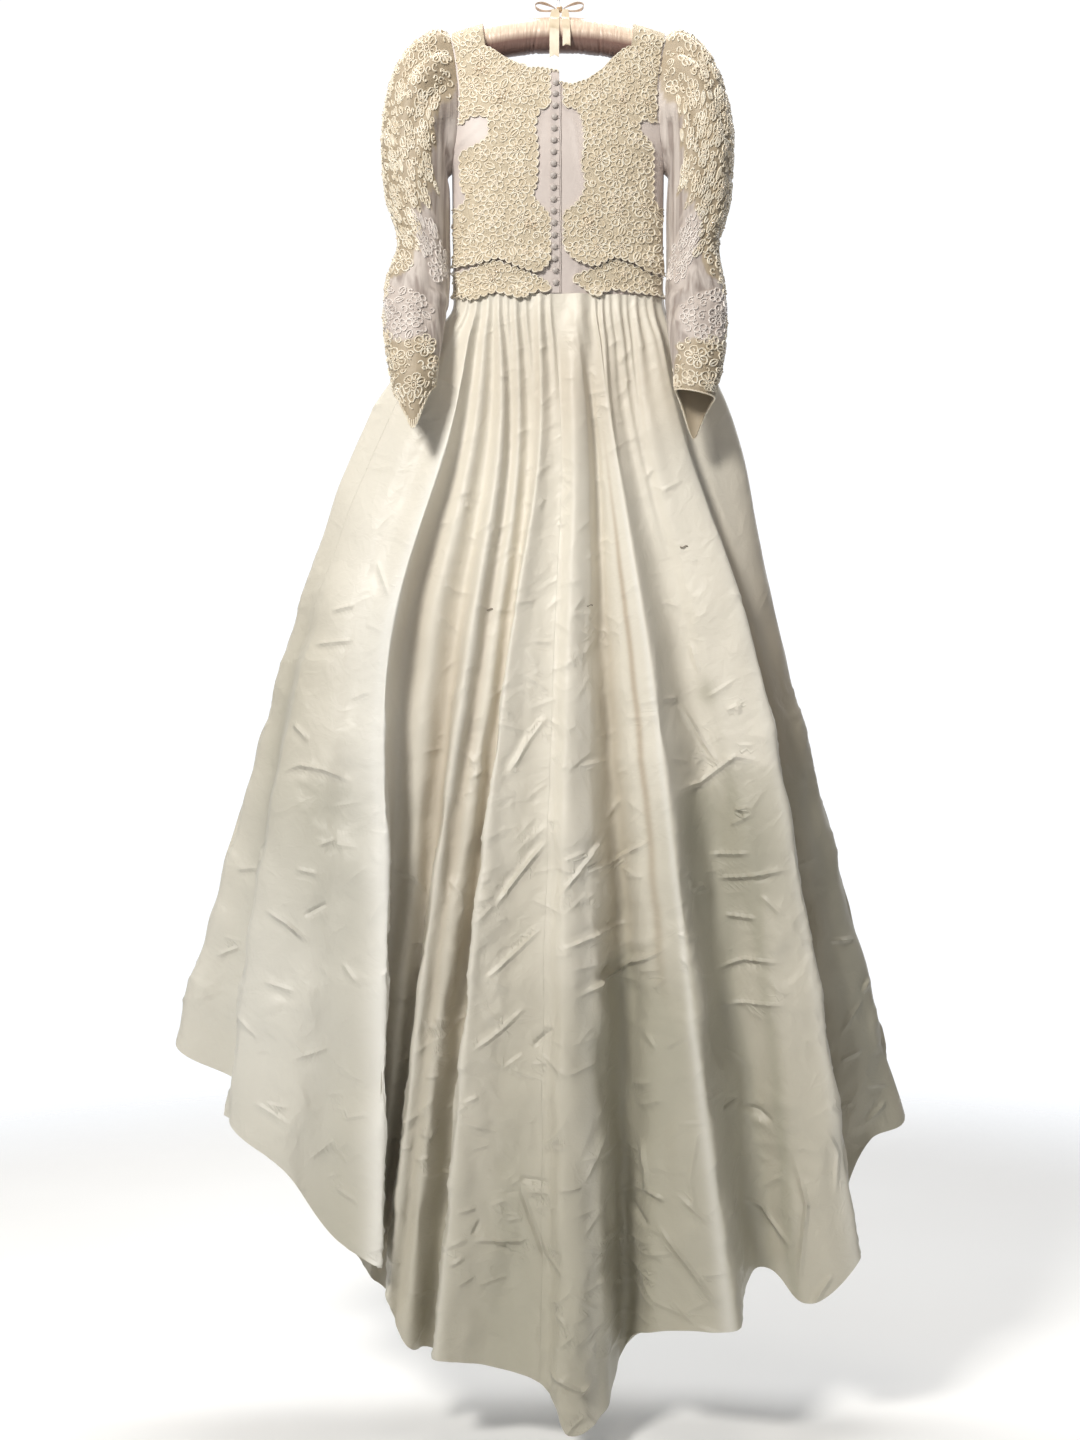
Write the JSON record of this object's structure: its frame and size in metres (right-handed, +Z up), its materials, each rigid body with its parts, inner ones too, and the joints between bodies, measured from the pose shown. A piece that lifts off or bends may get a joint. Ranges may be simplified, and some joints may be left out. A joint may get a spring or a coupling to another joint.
{
  "type": "wedding dress on a padded hanger",
  "caption": "Long-sleeved wedding dress with a lace bodice buttoned down the back and a gathered taffeta skirt with a short train, hung on a padded hanger.",
  "frame": {"origin": "inner top of the hanger hook, where a rail holds it", "axes": "+Z up along the hanging gown, +X to the right as seen from the gown's back, +Y towards the gown's front"},
  "size_m": [1.242, 0.4491, 2.4078],
  "materials": {
    "taffeta": "ivory silk taffeta with a soft crisp sheen",
    "bodice_satin": "lined satin, mauve white",
    "organza": "sheer crisp organza",
    "corded_lace": "champagne corded lace with pearl beads",
    "button_satin": "satin covered button moulds",
    "pad_satin": "ruched satin over wadding",
    "ribbon": "satin ribbon",
    "hook_wire": "bright plated steel wire"
  },
  "bodies": {
    "root": {"hanger_pad": "pad_satin", "hanger_hook": "hook_wire", "bow_knot": "ribbon", "bow_loop_left": "ribbon", "bow_loop_right": "ribbon", "bow_tail_left": "ribbon", "bow_tail_right": "ribbon", "bodice_back_left": "bodice_satin", "bodice_back_right": "bodice_satin", "bodice_front": "bodice_satin", "placket": "bodice_satin", "placket_piping": "bodice_satin", "lace_back_left": "corded_lace", "lace_back_right": "corded_lace", "lace_waist_left": "corded_lace", "lace_waist_right": "corded_lace", "lace_front": "corded_lace", "lace_waist_front": "corded_lace", "button_01": "button_satin", "button_02": "button_satin", "button_03": "button_satin", "button_04": "button_satin", "button_05": "button_satin", "button_06": "button_satin", "button_07": "button_satin", "button_08": "button_satin", "button_09": "button_satin", "button_10": "button_satin", "button_11": "button_satin", "button_12": "button_satin", "button_13": "button_satin", "button_14": "button_satin", "button_15": "button_satin", "button_16": "button_satin", "button_17": "button_satin", "button_18": "button_satin", "sleeve_left": "organza", "sleeve_right": "organza", "skirt_back_left": "taffeta", "skirt_back_right": "taffeta", "skirt_side_left": "taffeta", "skirt_side_right": "taffeta", "skirt_front": "taffeta"}
  },
  "joints": []
}
